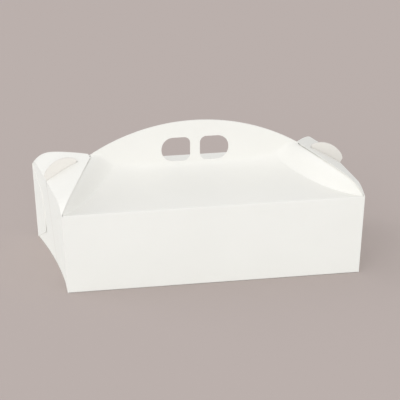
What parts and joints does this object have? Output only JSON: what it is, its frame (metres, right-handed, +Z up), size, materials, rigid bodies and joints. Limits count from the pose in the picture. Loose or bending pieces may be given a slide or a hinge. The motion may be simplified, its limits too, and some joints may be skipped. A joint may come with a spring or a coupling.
{
  "type": "pastry box",
  "caption": "White card pastry carry box with an arched handle on top, and a slotted flap at each end that hooks over the handle",
  "frame": {"origin": "middle of the base, on the surface that the box stands on", "axes": "+X along the box to its right end, +Y from the front wall to the back wall, +Z up"},
  "size_m": [0.327, 0.196, 0.15],
  "materials": {
    "white_card": "matte"
  },
  "bodies": {
    "box": {"carton": "white_card"},
    "left_flap": {"left_end_flap": "white_card"},
    "right_flap": {"right_end_flap": "white_card"}
  },
  "joints": [
    {"name": "left_flap_fold", "type": "hinge", "parent": "box", "child": "left_flap", "pos_m": [-0.161, 0, 0.0925], "axis": [0, -1, 0], "range_deg": [0, 150]},
    {"name": "right_flap_fold", "type": "hinge", "parent": "box", "child": "right_flap", "pos_m": [0.161, 0, 0.0925], "axis": [0, 1, 0], "range_deg": [0, 150]}
  ]
}
